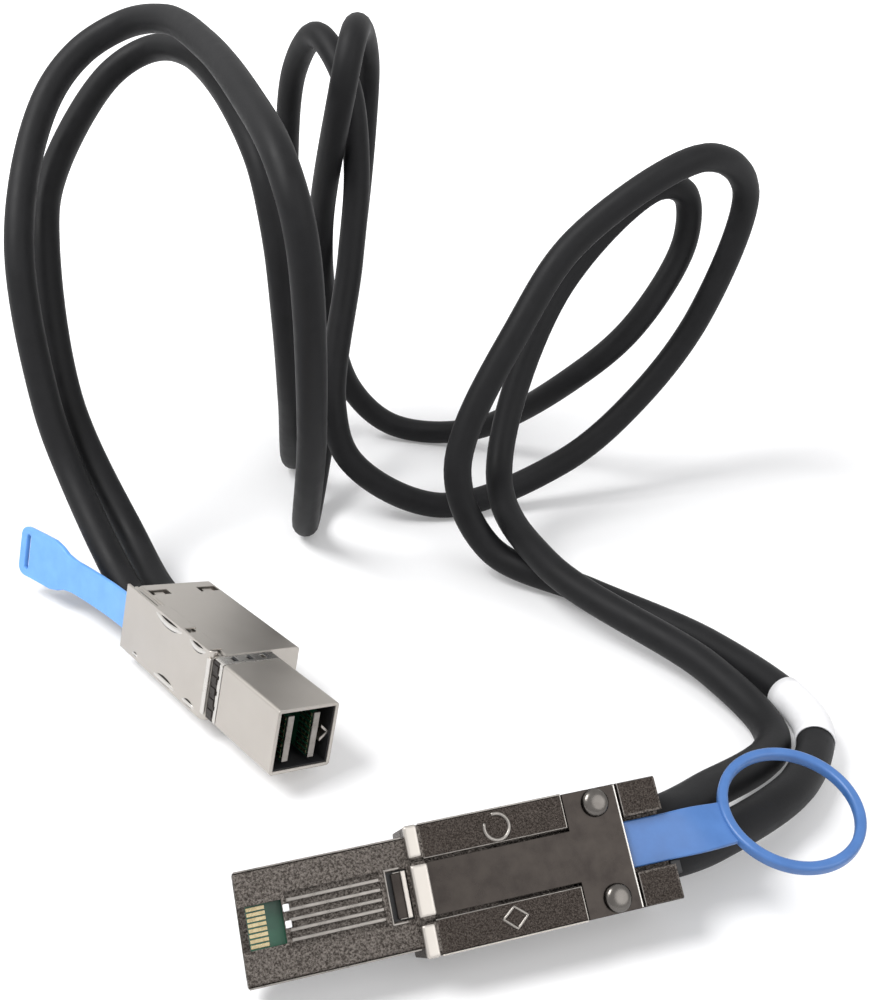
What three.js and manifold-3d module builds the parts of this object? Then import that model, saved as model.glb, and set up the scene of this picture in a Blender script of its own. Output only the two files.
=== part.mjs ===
// Mini SAS cable: two round cords side by side between two metal plugs.
// Plug A is the square-nosed one with two cards, plug B the flat one with one card.
// Millimetres, +Z up. The cable lies on z = 0 as a springy open coil.
import * as THREE from 'three';
import { mergeVertices } from 'three/addons/utils/BufferGeometryUtils.js';
import Module from 'manifold-3d';

const wasm = await Module();
wasm.setup();

// Clearance between neighbouring pieces
const gap = 0.3;

// Cords and label
const cordDiameter = 7.4;
const cordSides = 10;
const cordSteps = 80;
const sleeveWall = 0.35;
const sleeveFromStep = 74.5;
const sleeveToStep = 76;

// Plug A: x towards the nose, y across the stack of cords, z along the cards' width
const a = {
  noseLength: 26,
  noseThick: 14,
  noseHigh: 13.8,
  neckWall: 1.2,
  neckLength: 8,
  noseWall: 0.7,
  bodyLength: 40.5,
  bodyFar: 14,
  bodyNear: -4.6,
  bodyWall: 1.2,
  rearWall: 2,
  cornerRadius: 0.7,
  lidThick: 0.7,
  coverThick: 0.6,
  coverSide: 0.4,
  coverReach: 3.4,
  cardThick: 1.3,
  cardWide: 9.6,
  cardSide: 2.2,
  cardTo: 25,
  cardFrom: -22,
  cardAt: [-3.3, 2.7],
  keyLong: 6,
  keyThick: 0.6,
  keyFork: 1.5,
  windowLong: 3,
  windowWide: 4.8,
  windowAt: [-1.6, 10.8],
  cordAt: [-0.2, 8.2],
  springLong: 3.4,
  springThick: 0.3,
  springSlot: 0.9,
  holderFrom: -13,
  holderTo: -4,
  flanges: [[14, 27], [29.5, 38.5]],
  hook: [4.5, 8.5],
  hookReach: 2.4,
  frontBend: 1.6,
  heading: -51.6,
  pitch: -1.6,
  roll: -14.8,
};
// The body is as high as the cards it holds, with room for holder and wall on both sides
a.bodyHigh = a.cardWide + 2 * a.cardSide;
const placeA = new THREE.Vector2(-44.2, 213.8);

// Plug B: x towards the cords, y across its broad face, z out of that face
const b = {
  noseLength: 27.8,
  noseWide: 17.2,
  noseTop: -1.4,
  noseBottom: -10.2,
  noseWall: 1.2,
  bodyLength: 43.5,
  bodyWide: 20.2,
  bodyThick: 14,
  bodyWall: 1.5,
  cornerRadius: 0.6,
  splitAt: -5.8,
  padHigh: 1.3,
  padFrom: 2.2,
  barLong: 9.4,
  barBehind: 7.1,
  stemWide: 8.8,
  plateThick: 0.6,
  plateTop: -0.4,
  channelWide: 9,
  channelFloor: -2.6,
  ribs: 6,
  ribPitch: 1.5,
  ribGroove: 0.9,
  ribsFrom: 7.4,
  ribsTo: 5.2,
  hookWindow: [4.2, 0.8],
  hookDeep: 0.9,
  hookWide: 7.2,
  cardWindow: 6.8,
  cardWindowWide: 6.6,
  cardThick: 1,
  cardWide: 11.2,
  cardAt: -4.6,
  cardFrom: -26.6,
  cardTo: 12,
  holderFrom: 3,
  holderTo: 11,
  rivetSide: 7.7,
  rivetBehind: 4,
  rivetRadius: 2.3,
  shankRadius: 1,
  cordAt: [[3.6, -9.8], [-3.3, -6.3]],
  heading: 15.8,
  pitch: -1.5,
  roll: 46,
};
const placeB = new THREE.Vector2(-5, 146.5);

// Pull tab of plug A: a flat strap with a slotted pad at its end
const tabA = {
  wide: 8.4,
  thick: 1.2,
  tongueThick: 0.7,
  tongueFrom: -14,
  strapTo: -66,
  padFrom: -73,
  padTo: -88,
  padWide: 13,
  bend: 7.8,
  slotWide: 1.5,
  slotHigh: 9.2,
  travel: 2.5,
};

// Pull tab of plug B: a flat strap with a finger ring at its end
const tabB = {
  wide: 7.6,
  thick: 1,
  tongueFrom: 14,
  ringAcross: 25.4,
  ringBand: 1.8,
  ringDeep: 2.2,
  ringAt: 67.2,
  ringTilt: -31,
  travel: 2,
};

// Ferrules that clamp the cords in the plugs
const ferrule = { long: 7, radius: 3.1, bore: 2.4 };

const cordRadius = cordDiameter / 2;

// Routes of the two cords, from plug A to plug B
const route1 = [
  [-96, 281.5, 29], [-103, 289.5, 47], [-108.5, 303, 85], [-106.5, 331.5, 115],
  [-98.5, 342.5, 127], [-87, 345, 133.5], [-73.5, 335, 135.5], [-59, 311, 131],
  [-45, 280, 122.5], [-35, 257.5, 112], [-30.5, 250, 97], [-33, 271.5, 46],
  [-40, 303, 5.5], [-40, 318, 5.5], [-35.5, 345, 32], [-28, 362, 77],
  [-24.5, 366, 106], [-23, 360, 123.5], [-24, 345, 133], [-25, 333.5, 130],
  [-27.5, 330, 119], [-37.5, 354.5, 77], [-38, 370, 46], [-32, 378.5, 18.5],
  [-19, 380, 5.5], [7, 371, 7], [41, 344, 37], [56, 343, 52.5],
  [69, 349.5, 74], [68, 347.5, 88], [57.5, 339, 91.5], [30, 326, 65.5],
  [14, 302, 21.5], [24.5, 266, 12.5], [58.5, 226.5, 6.5], [67, 204, 4.2],
  [47, 178.8, 10.2],
];
const route2 = [
  [-81.5, 277.5, 14], [-100.5, 300, 43.5], [-106.5, 317, 82], [-107, 332, 96.5],
  [-96, 359.5, 119.5], [-85, 362, 126], [-71, 350, 126], [-47, 303, 107],
  [-42.5, 296, 89.5], [-42, 301.5, 65], [-44, 317, 37], [-49, 351, 5.5],
  [-48.5, 366, 6.5], [-48.5, 386.5, 37], [-51, 387.5, 63], [-50, 384, 95],
  [-45.5, 375, 119], [-36.5, 359, 130], [-27.5, 345.5, 118], [-25.5, 343, 96],
  [-27.5, 335, 72.5], [-32.5, 320, 34.5], [-27.5, 316.5, 18.5], [-2.5, 318, 4.2],
  [33.5, 329, 13], [55.5, 337, 29.5], [73.5, 341.5, 54.5], [82.5, 337.5, 91],
  [67, 322, 102.5], [34, 310.5, 84], [19.5, 302.5, 64.5], [2.5, 289, 28],
  [11, 282, 8.5], [36, 266, 4.2], [61.5, 239.5, 4.6], [75.8, 209, 5.2],
  [67.8, 187, 6.8], [47, 167, 9.6],
];

// Materials
const nickel = new THREE.MeshStandardMaterial({ color: 0xafa8a0, roughness: 0.35, metalness: 1 });
const castNickel = new THREE.MeshStandardMaterial({ color: 0x8f877e, roughness: 0.55, metalness: 1 });
const brightNickel = new THREE.MeshStandardMaterial({ color: 0xc9c4bd, roughness: 0.25, metalness: 1 });
const darkPlate = new THREE.MeshStandardMaterial({ color: 0x5a5450, roughness: 0.4, metalness: 1 });
const bluePlastic = new THREE.MeshStandardMaterial({ color: 0x5f9be0, roughness: 0.45, metalness: 0 });
const jacket = new THREE.MeshStandardMaterial({ color: 0x262628, roughness: 0.6, metalness: 0 });
const paper = new THREE.MeshStandardMaterial({ color: 0xe9e9ea, roughness: 0.6, metalness: 0 });
const board = new THREE.MeshStandardMaterial({ color: 0x17573a, roughness: 0.5, metalness: 0 });
const mould = new THREE.MeshStandardMaterial({ color: 0x1b1b1c, roughness: 0.6, metalness: 0 });
const copper = new THREE.MeshStandardMaterial({ color: 0xb46a3c, roughness: 0.5, metalness: 0.6 });

// Solids from geometry and back

function solid(geometry) {
  const bare = geometry.index ? geometry.toNonIndexed() : geometry.clone();
  bare.deleteAttribute('normal');
  bare.deleteAttribute('uv');
  const merged = mergeVertices(bare, 1e-4);
  return new wasm.Manifold(new wasm.Mesh({
    numProp: 3,
    vertProperties: merged.attributes.position.array,
    triVerts: Uint32Array.from(merged.index.array),
  }));
}

function geometryOf(manifold) {
  const mesh = manifold.getMesh();
  const geometry = new THREE.BufferGeometry();
  geometry.setAttribute('position', new THREE.BufferAttribute(Float32Array.from(mesh.vertProperties), 3));
  geometry.setIndex(Array.from(mesh.triVerts));
  return geometry;
}

function join(first, ...others) {
  return others.reduce((sum, other) => sum.add(other), first);
}

function cut(first, ...others) {
  return others.reduce((rest, other) => rest.subtract(other), first);
}

// A box between two corners
function block(x0, x1, y0, y1, z0, z1) {
  const geometry = new THREE.BoxGeometry(x1 - x0, y1 - y0, z1 - z0);
  geometry.translate((x0 + x1) / 2, (y0 + y1) / 2, (z0 + z1) / 2);
  return solid(geometry);
}

// A bar along x whose section in y and z has rounded corners
function bar(x0, x1, y0, y1, z0, z1, radius) {
  const shape = new THREE.Shape();
  shape.moveTo(y0 + radius, z0);
  shape.lineTo(y1 - radius, z0);
  shape.absarc(y1 - radius, z0 + radius, radius, -Math.PI / 2, 0, false);
  shape.lineTo(y1, z1 - radius);
  shape.absarc(y1 - radius, z1 - radius, radius, 0, Math.PI / 2, false);
  shape.lineTo(y0 + radius, z1);
  shape.absarc(y0 + radius, z1 - radius, radius, Math.PI / 2, Math.PI, false);
  shape.lineTo(y0, z0 + radius);
  shape.absarc(y0 + radius, z0 + radius, radius, Math.PI, 1.5 * Math.PI, false);
  const geometry = new THREE.ExtrudeGeometry(shape, { depth: x1 - x0, bevelEnabled: false, curveSegments: 3 });
  geometry.applyMatrix4(new THREE.Matrix4().set(0, 0, 1, x0, 1, 0, 0, 0, 0, 1, 0, 0, 0, 0, 0, 1));
  return solid(geometry);
}

// A round rod along x, centred on y and z
function rodX(x0, x1, y, z, radius, sides = 20) {
  const geometry = new THREE.CylinderGeometry(radius, radius, x1 - x0, sides);
  geometry.rotateZ(-Math.PI / 2);
  geometry.translate((x0 + x1) / 2, y, z);
  return solid(geometry);
}

// A round rod along z, centred on x and y
function rodZ(x, y, z0, z1, radius, sides = 20) {
  const geometry = new THREE.CylinderGeometry(radius, radius, z1 - z0, sides);
  geometry.rotateX(Math.PI / 2);
  geometry.translate(x, y, (z0 + z1) / 2);
  return solid(geometry);
}

// A closed skin through rings of points that all have the same count
function loft(rings) {
  const count = rings[0].length;
  const positions = rings.flat().flatMap((point) => [point.x, point.y, point.z]);
  const index = [];
  for (let ring = 0; ring < rings.length - 1; ring += 1) {
    for (let i = 0; i < count; i += 1) {
      const p = ring * count + i;
      const q = ring * count + ((i + 1) % count);
      index.push(p, q, q + count, p, q + count, p + count);
    }
  }
  const last = (rings.length - 1) * count;
  for (let i = 1; i < count - 1; i += 1) {
    index.push(0, i + 1, i);
    index.push(last, last + i, last + i + 1);
  }
  const geometry = new THREE.BufferGeometry();
  geometry.setAttribute('position', new THREE.Float32BufferAttribute(positions, 3));
  geometry.setIndex(index);
  const body = solid(geometry);
  if (body.volume() > 0) return body;
  geometry.setIndex(index.map((_, i) => index[i - (i % 3) + 2 - (i % 3)]));
  return solid(geometry);
}

function mesh(name, manifold, material) {
  const made = new THREE.Mesh(geometryOf(manifold), material);
  made.name = name;
  return made;
}

// A flattened bundle of wires from a ferrule to the back of a card
function wireBundle(xCord, xCard, start, end, halfWide, wideAxis) {
  const rings = [];
  const round = ferrule.bore - gap;
  const flat = 0.4;
  const direction = Math.sign(xCard - xCord);
  const straight = ferrule.long * direction;
  const stations = [0, straight, straight + (xCard - xCord - straight) * 0.5, xCard - xCord];
  stations.forEach((station, step) => {
    const t = [0, 0, 0.5, 1][step];
    const cy = THREE.MathUtils.lerp(start[0], end[0], t);
    const cz = THREE.MathUtils.lerp(start[1], end[1], t);
    const wide = THREE.MathUtils.lerp(round, halfWide, t);
    const thin = THREE.MathUtils.lerp(round, flat, t);
    const ring = [];
    for (let i = 0; i < 12; i += 1) {
      const angle = (i / 12) * 2 * Math.PI;
      const dy = Math.cos(angle) * (wideAxis === 'y' ? wide : thin);
      const dz = Math.sin(angle) * (wideAxis === 'z' ? wide : thin);
      ring.push(new THREE.Vector3(xCord + station, cy + dy, cz + dz));
    }
    rings.push(ring);
  });
  return loft(rings);
}

function ferruleRing(x0, y, z) {
  return cut(
    rodX(x0, x0 + ferrule.long, y, z, ferrule.radius),
    rodX(x0 - 1, x0 + ferrule.long + 1, y, z, ferrule.bore),
  );
}

// Plug A

function plugA() {
  const group = new THREE.Group();
  const halfHigh = a.bodyHigh / 2;
  const noseY = a.noseThick / 2;
  const noseZ = a.noseHigh / 2;
  const rear = -a.bodyLength;
  const cordHole = ferrule.radius + gap;
  const springGroove = a.springThick + gap;

  const noseInY = noseY - a.noseWall;
  const noseInZ = noseZ - a.noseWall;
  const neckInY = noseY - a.neckWall;
  const neckInZ = noseZ - a.neckWall;
  const innerZ = halfHigh - a.bodyWall;
  const windowFrom = rear + a.rearWall + 1;
  let housing = join(
    bar(rear, 0, a.bodyNear, a.bodyFar, -halfHigh, halfHigh, a.cornerRadius),
    bar(-a.bodyWall, a.noseLength, -noseY, noseY, -noseZ, noseZ, a.cornerRadius),
  );
  housing = cut(
    housing,
    block(rear + a.rearWall, -a.bodyWall, a.bodyNear - 1, a.bodyFar - a.bodyWall, -innerZ, innerZ),
    block(a.neckLength, a.noseLength + 1, -noseInY, noseInY, -noseInZ, noseInZ),
    block(0, a.neckLength + 1, -neckInY, neckInY, -neckInZ, neckInZ),
    block(-a.bodyWall - 1, 1, a.bodyNear - 0.2, neckInY, -neckInZ, neckInZ),
    block(-a.bodyWall - 1, 0, -noseY - 1, a.bodyNear, -noseZ - 1, noseZ + 1),
  );
  a.cordAt.forEach((y) => {
    housing = cut(housing, rodX(rear - 1, rear + a.rearWall + 1, y, 0, cordHole));
  });
  housing = cut(housing, cut(
    block(gap, gap + a.springLong + 2 * gap, -noseY - 1, noseY + 1, -noseZ - 1, noseZ + 1),
    block(0, a.springLong + 4 * gap, -noseY + springGroove, noseY - springGroove,
      -noseZ + springGroove, noseZ - springGroove),
  ));
  a.windowAt.forEach((middle) => {
    const wide = a.windowWide;
    const y = middle - wide / 2;
    [-1, 1].forEach((side) => {
      const z0 = side > 0 ? innerZ - 0.1 : -halfHigh - 1;
      housing = cut(housing, block(windowFrom, windowFrom + a.windowLong, y, y + wide, z0, z0 + a.bodyWall + 1.1));
      const tip = side * (halfHigh - 0.35);
      const root = side * (innerZ + 0.3);
      const tongue = loft([y + 1.2, y + wide - 1.2].map((yy) => [
        new THREE.Vector3(windowFrom + a.windowLong + 0.4, yy, root),
        new THREE.Vector3(windowFrom + 0.7, yy, tip),
        new THREE.Vector3(windowFrom + a.windowLong + 0.4, yy, tip),
      ]));
      housing = join(housing, tongue);
    });
  });
  // Key on the far side of the nose: a leaf that ends in two short arms
  const keyRoot = noseInY + gap;
  const keyTip = a.cardAt[1] + a.cardThick / 2 + 2 * a.keyFork / 3;
  const keyHalf = a.keyThick / 2;
  housing = join(housing, block(a.cardTo - a.keyLong, a.cardTo, keyTip + a.keyFork, keyRoot, -keyHalf, keyHalf));
  [-1, 1].forEach((side) => {
    housing = join(housing, loft([a.cardTo - a.keyLong, a.cardTo].map((x) => [
      new THREE.Vector3(x, keyTip + a.keyFork + keyHalf, -keyHalf),
      new THREE.Vector3(x, keyTip + a.keyFork + keyHalf, keyHalf),
      new THREE.Vector3(x, keyTip, side * a.keyFork + keyHalf),
      new THREE.Vector3(x, keyTip, side * a.keyFork - keyHalf),
    ])));
  });
  group.add(mesh('plug_a_housing', housing, nickel));

  const lidTop = a.bodyNear - gap - a.lidThick;
  const lid = block(rear, -gap, lidTop, a.bodyNear - gap, -halfHigh + 0.1, halfHigh - 0.1);
  group.add(mesh('plug_a_lid', lid, nickel));

  // Stamped cover over the lid: a plate with a turned-in front and two flanges on each side
  const coverIn = lidTop - gap - tabA.tongueThick - gap;
  const coverOut = coverIn - a.coverThick;
  const coverHalf = halfHigh + gap + a.coverSide;
  const profile = new THREE.Shape();
  profile.moveTo(rear, coverOut);
  profile.lineTo(-gap - a.frontBend, coverOut);
  profile.absarc(-gap - a.frontBend, coverOut + a.frontBend, a.frontBend, -Math.PI / 2, 0, false);
  profile.lineTo(-gap, lidTop - gap);
  profile.lineTo(-gap - a.coverThick, lidTop - gap);
  profile.lineTo(-gap - a.coverThick, coverOut + a.frontBend);
  profile.absarc(-gap - a.frontBend, coverOut + a.frontBend, a.frontBend - a.coverThick, 0, -Math.PI / 2, true);
  profile.lineTo(rear, coverIn);
  const plate = new THREE.ExtrudeGeometry(profile, { depth: 2 * coverHalf, bevelEnabled: false, curveSegments: 5 });
  plate.translate(0, 0, -coverHalf);
  let cover = solid(plate);
  [-1, 1].forEach((side) => {
    a.flanges.forEach(([x0, x1]) => {
      const z0 = side > 0 ? coverHalf - a.coverSide : -coverHalf;
      cover = join(cover, block(rear + x0, rear + x1, coverOut, coverOut + a.coverReach, z0, z0 + a.coverSide));
    });
  });
  cover = join(cover, block(rear + a.hook[0], rear + a.hook[1], coverOut, coverOut + a.hookReach,
    -coverHalf, -coverHalf + a.coverSide));
  group.add(mesh('plug_a_latch_cover', cover, brightNickel));

  const springOutY = noseY;
  const springOutZ = noseZ;
  let spring = cut(
    bar(2 * gap, 2 * gap + a.springLong, -springOutY, springOutY, -springOutZ, springOutZ, a.cornerRadius),
    block(0, a.springLong + 2, -springOutY + a.springThick, springOutY - a.springThick,
      -springOutZ + a.springThick, springOutZ - a.springThick),
  );
  [-0.5, 0, 0.5].forEach((share) => {
    const x0 = 2 * gap + 0.8;
    const x1 = 2 * gap + a.springLong - 0.8;
    const half = a.springSlot / 2;
    const y = share * springOutY;
    const z = share * springOutZ;
    spring = cut(
      spring,
      block(x0, x1, y - half, y + half, -springOutZ - 1, springOutZ + 1),
      block(x0, x1, -springOutY - 1, springOutY + 1, z - half, z + half),
    );
  });
  group.add(mesh('plug_a_ground_spring', spring, brightNickel));

  a.cardAt.forEach((y, i) => {
    const card = block(a.cardFrom, a.cardTo, y - a.cardThick / 2, y + a.cardThick / 2, -a.cardWide / 2, a.cardWide / 2);
    group.add(mesh(`plug_a_card_${i + 1}`, card, board));
  });

  const holderNear = a.cardAt[0] - a.cardThick / 2 + 0.2;
  let holder = block(a.holderFrom, a.holderTo, holderNear, a.bodyFar - a.bodyWall - gap, -innerZ + gap, innerZ - gap);
  a.cardAt.forEach((y) => {
    const half = a.cardThick / 2 + gap;
    holder = cut(holder, block(a.holderFrom - 1, a.holderTo + 1, y - half, y + half,
      -a.cardWide / 2 - gap, a.cardWide / 2 + gap));
  });
  group.add(mesh('plug_a_card_holder', holder, mould));

  a.cordAt.forEach((y, i) => {
    group.add(mesh(`plug_a_ferrule_${i + 1}`, ferruleRing(rear, y, 0), brightNickel));
    const wires = wireBundle(rear, a.cardFrom - gap, [y, 0], [a.cardAt[i], 0], a.cardWide / 2 - 0.4, 'z');
    group.add(mesh(`plug_a_wires_${i + 1}`, wires, copper));
  });

  group.add(mesh('plug_a_pull_tab', pullTabA(lidTop - gap - tabA.tongueThick / 2), bluePlastic));

  layDown(group, placeA, a);
  return group;
}

// Turns a plug as it lies and sets its lowest corner on z = 0
function layDown(group, place, { heading, pitch, roll }) {
  const angles = [roll, pitch, heading].map(THREE.MathUtils.degToRad);
  group.rotation.set(...angles, 'ZYX');
  const lowest = new THREE.Box3().setFromObject(group, true).min.z;
  group.position.set(place.x, place.y, -lowest);
}

// Strap of plug A as a loft of flat sections that widen into the pad and bend outwards
function pullTabA(yTongue) {
  const strapStart = -a.bodyLength - 1.5;
  const bendAt = (x) => {
    const t = THREE.MathUtils.clamp((x - strapStart) / (tabA.padTo - strapStart), 0, 1);
    return -tabA.bend * t ** 1.6;
  };
  const stations = [
    [tabA.tongueFrom, tabA.wide - 1.6, tabA.tongueThick],
    [tabA.tongueFrom - 2, tabA.wide, tabA.tongueThick],
    [-a.bodyLength - 0.6, tabA.wide, tabA.tongueThick],
    [strapStart, tabA.wide, tabA.thick],
    [-50, tabA.wide, tabA.thick],
    [-58, tabA.wide, tabA.thick],
    [tabA.strapTo, tabA.wide, tabA.thick],
    [tabA.strapTo - 3, tabA.wide + 1.2, tabA.thick],
    [tabA.padFrom, tabA.padWide - 1, tabA.thick],
    [tabA.padFrom - 3, tabA.padWide, tabA.thick],
    [tabA.padTo + 1.2, tabA.padWide, tabA.thick],
    [tabA.padTo, tabA.padWide - 2, tabA.thick],
  ];
  const rings = stations.map(([x, wide, thick]) => {
    const y = yTongue + bendAt(x);
    return [[-1, -1], [1, -1], [1, 1], [-1, 1]].map(([sy, sz]) => (
      new THREE.Vector3(x, y + (sy * thick) / 2, (sz * wide) / 2)));
  });
  const slotAt = tabA.padTo + 3;
  return cut(loft(rings), block(slotAt - tabA.slotWide / 2, slotAt + tabA.slotWide / 2,
    yTongue - tabA.bend - tabA.thick, yTongue + tabA.thick, -tabA.slotHigh / 2, tabA.slotHigh / 2));
}

// Plug B

function plugB() {
  const group = new THREE.Group();
  const half = b.bodyWide / 2;
  const noseHalf = b.noseWide / 2;
  const bottom = -b.bodyThick;
  const floorT = -b.padHigh;
  const barTo = b.bodyLength - b.barBehind;
  const barFrom = barTo - b.barLong;
  const rivetX = barTo - b.rivetBehind;
  const cordHole = ferrule.radius + gap;

  // Both halves are cut from one outer form
  let form = join(
    bar(0, b.bodyLength, -half, half, bottom, 0, b.cornerRadius),
    bar(-b.noseLength, 1, -noseHalf, noseHalf, b.noseBottom, b.noseTop, b.cornerRadius),
  );
  const noseRoof = b.noseTop - b.noseWall;
  const noseFloor = b.noseBottom + b.noseWall;
  const roof = -3.9;
  form = cut(
    form,
    block(-b.noseLength - 1, b.bodyWall + 1, -noseHalf + b.noseWall, noseHalf - b.noseWall, noseFloor, noseRoof),
    block(b.bodyWall, b.bodyLength - b.bodyWall, -half + b.bodyWall, half - b.bodyWall, bottom + b.bodyWall, roof),
    block(b.padFrom, barTo + gap, -b.stemWide / 2 - gap, b.stemWide / 2 + gap, floorT, 1),
    block(barFrom - gap, barTo + gap, -half - 1, half + 1, floorT, 1),
    block(tabB.tongueFrom - 1, b.bodyLength + 1, -b.channelWide / 2, b.channelWide / 2, b.channelFloor, 1),
    block(-b.noseLength - 1, -b.noseLength + b.cardWindow, -b.cardWindowWide / 2, b.cardWindowWide / 2,
      b.splitAt + 1, 1),
    block(-b.hookWindow[0], -b.hookWindow[1], -b.hookWide / 2 - gap, b.hookWide / 2 + gap,
      b.noseTop - b.hookDeep, 1),
  );
  [-1, 1].forEach((side) => {
    const y = side * (b.stemWide / 2 + gap);
    form = cut(form, block(-1, b.padFrom, y - gap, y + gap, -b.padHigh / 2, 1));
  });
  // Long grooves leave the ribs between them on the nose
  for (let i = 0; i < b.ribs; i += 1) {
    const y = (i - (b.ribs - 1) / 2) * b.ribPitch;
    form = cut(form, block(-b.noseLength + b.ribsFrom, -b.ribsTo, y - b.ribGroove / 2, y + b.ribGroove / 2,
      b.noseTop - 0.4, 1));
  }
  b.cordAt.forEach(([y, z]) => {
    form = cut(form, rodX(b.bodyLength - ferrule.long - 1, b.bodyLength + 1, y, z, cordHole));
  });
  [-1, 1].forEach((side) => {
    form = cut(form, rodZ(rivetX, side * b.rivetSide, roof - 1, 1, b.shankRadius + gap));
  });
  const far = 100;
  const upper = cut(form, block(-far, far, -far, far, -far, b.splitAt + gap / 2));
  const lower = cut(form, block(-far, far, -far, far, b.splitAt - gap / 2, far));
  group.add(mesh('plug_b_upper_shell', upper, castNickel));
  group.add(mesh('plug_b_lower_shell', lower, castNickel));

  // T-shaped latch plate, and its hook in the window behind the nose
  const plateIn = b.plateTop - b.plateThick;
  let plate = join(
    block(b.padFrom + gap, barFrom + 1, -b.stemWide / 2 + gap, b.stemWide / 2 - gap, plateIn, b.plateTop),
    block(barFrom, barTo, -half, half, plateIn, b.plateTop),
  );
  [-1, 1].forEach((side) => {
    plate = cut(plate, rodZ(rivetX, side * b.rivetSide, plateIn - 1, 1, b.shankRadius + gap));
  });
  group.add(mesh('plug_b_latch_plate', plate, darkPlate));
  const hookFloor = b.noseTop - b.hookDeep + gap;
  group.add(mesh('plug_b_latch_hook', join(
    block(-b.hookWindow[0] + 1.2, -b.hookWindow[1] - gap, -b.hookWide / 2, b.hookWide / 2, hookFloor, hookFloor + 0.4),
    block(-b.hookWindow[1] - 1, -b.hookWindow[1] - gap, -b.hookWide / 2, b.hookWide / 2, hookFloor, b.noseTop + 0.5),
  ), darkPlate));

  [-1, 1].forEach((side, i) => {
    const r = b.rivetRadius;
    const base = b.plateTop + gap;
    const points = [[0, roof + 0.5], [b.shankRadius, roof + 0.5], [b.shankRadius, base], [r, base],
      [r * 0.94, base + 0.45], [r * 0.72, base + 0.85], [r * 0.38, base + 1.05], [0, base + 1.1]];
    const dome = new THREE.LatheGeometry(points.map(([x, y]) => new THREE.Vector2(x, y)), 20);
    dome.rotateX(Math.PI / 2);
    dome.translate(rivetX, side * b.rivetSide, 0);
    group.add(mesh(`plug_b_rivet_${i + 1}`, solid(dome), brightNickel));
  });

  const card = block(b.cardFrom, b.cardTo, -b.cardWide / 2, b.cardWide / 2,
    b.cardAt - b.cardThick / 2, b.cardAt + b.cardThick / 2);
  group.add(mesh('plug_b_card', card, board));

  const holder = cut(
    block(b.holderFrom, b.holderTo, -half + b.bodyWall + gap, half - b.bodyWall - gap,
      bottom + b.bodyWall + gap, roof - gap),
    block(b.holderFrom - 1, b.holderTo + 1, -b.cardWide / 2 - gap, b.cardWide / 2 + gap,
      b.cardAt - b.cardThick / 2 - gap, 0),
  );
  group.add(mesh('plug_b_card_holder', holder, mould));

  b.cordAt.forEach(([y, z], i) => {
    const x0 = b.bodyLength - ferrule.long;
    group.add(mesh(`plug_b_ferrule_${i + 1}`, ferruleRing(x0, y, z), brightNickel));
    const side = Math.sign(y);
    const wires = wireBundle(b.bodyLength, b.cardTo + gap, [y, z], [side * 2.9, b.cardAt], 2.4, 'y');
    group.add(mesh(`plug_b_wires_${i + 1}`, wires, copper));
  });

  group.add(mesh('plug_b_pull_tab', pullTabB(plateIn - gap - tabB.thick / 2), bluePlastic));

  layDown(group, placeB, b);
  return group;
}

// Strap of plug B, twisting by the ring's tilt before it meets the ring
function pullTabB(zTongue) {
  const ringRadius = tabB.ringAcross / 2;
  const strapEnd = tabB.ringAt - ringRadius + tabB.ringBand * 0.8;
  const tilt = THREE.MathUtils.degToRad(tabB.ringTilt);
  const twistFrom = b.bodyLength + 1;
  const stations = [tabB.tongueFrom, twistFrom, twistFrom + 3, twistFrom + 6, twistFrom + 9, strapEnd];
  const rings = stations.map((x) => {
    const t = THREE.MathUtils.clamp((x - twistFrom) / (strapEnd - twistFrom), 0, 1);
    const turn = tilt * t * t * (3 - 2 * t);
    return [[-1, -1], [1, -1], [1, 1], [-1, 1]].map(([sy, sz]) => {
      const y = (sy * tabB.wide) / 2;
      const z = (sz * tabB.thick) / 2;
      return new THREE.Vector3(x, y * Math.cos(turn) - z * Math.sin(turn),
        zTongue + y * Math.sin(turn) + z * Math.cos(turn));
    });
  });
  const outline = new THREE.Shape().absarc(0, 0, ringRadius, 0, 2 * Math.PI, false);
  outline.holes.push(new THREE.Path().absarc(0, 0, ringRadius - tabB.ringBand, 0, 2 * Math.PI, true));
  const hoop = new THREE.ExtrudeGeometry(outline, { depth: tabB.ringDeep, bevelEnabled: false, curveSegments: 40 });
  hoop.translate(0, 0, -tabB.ringDeep / 2);
  hoop.rotateX(tilt);
  hoop.translate(tabB.ringAt, 0, zTongue);
  return join(loft(rings), solid(hoop));
}

// Cords and label

function cordPath(points) {
  return new THREE.CatmullRomCurve3(points, false, 'centripetal');
}

function section(radius) {
  const corners = [];
  for (let i = 0; i < cordSides; i += 1) {
    const angle = (i / cordSides) * 2 * Math.PI;
    corners.push(new THREE.Vector2(radius * Math.cos(angle), radius * Math.sin(angle)));
  }
  return corners;
}

function tubeAlong(path, outer, inner, steps) {
  const shape = new THREE.Shape(section(outer));
  if (inner) shape.holes.push(new THREE.Path(section(inner).reverse()));
  return new THREE.ExtrudeGeometry(shape, { steps, bevelEnabled: false, extrudePath: path });
}

// Where a cord leaves its plug: on the end face, and a little way out of it
function exitPoints(plug, x, y, z, reach) {
  plug.updateMatrixWorld(true);
  const out = Math.sign(x);
  return [gap, reach].map((far) => plug.localToWorld(new THREE.Vector3(x + out * far, y, z)));
}

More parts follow.
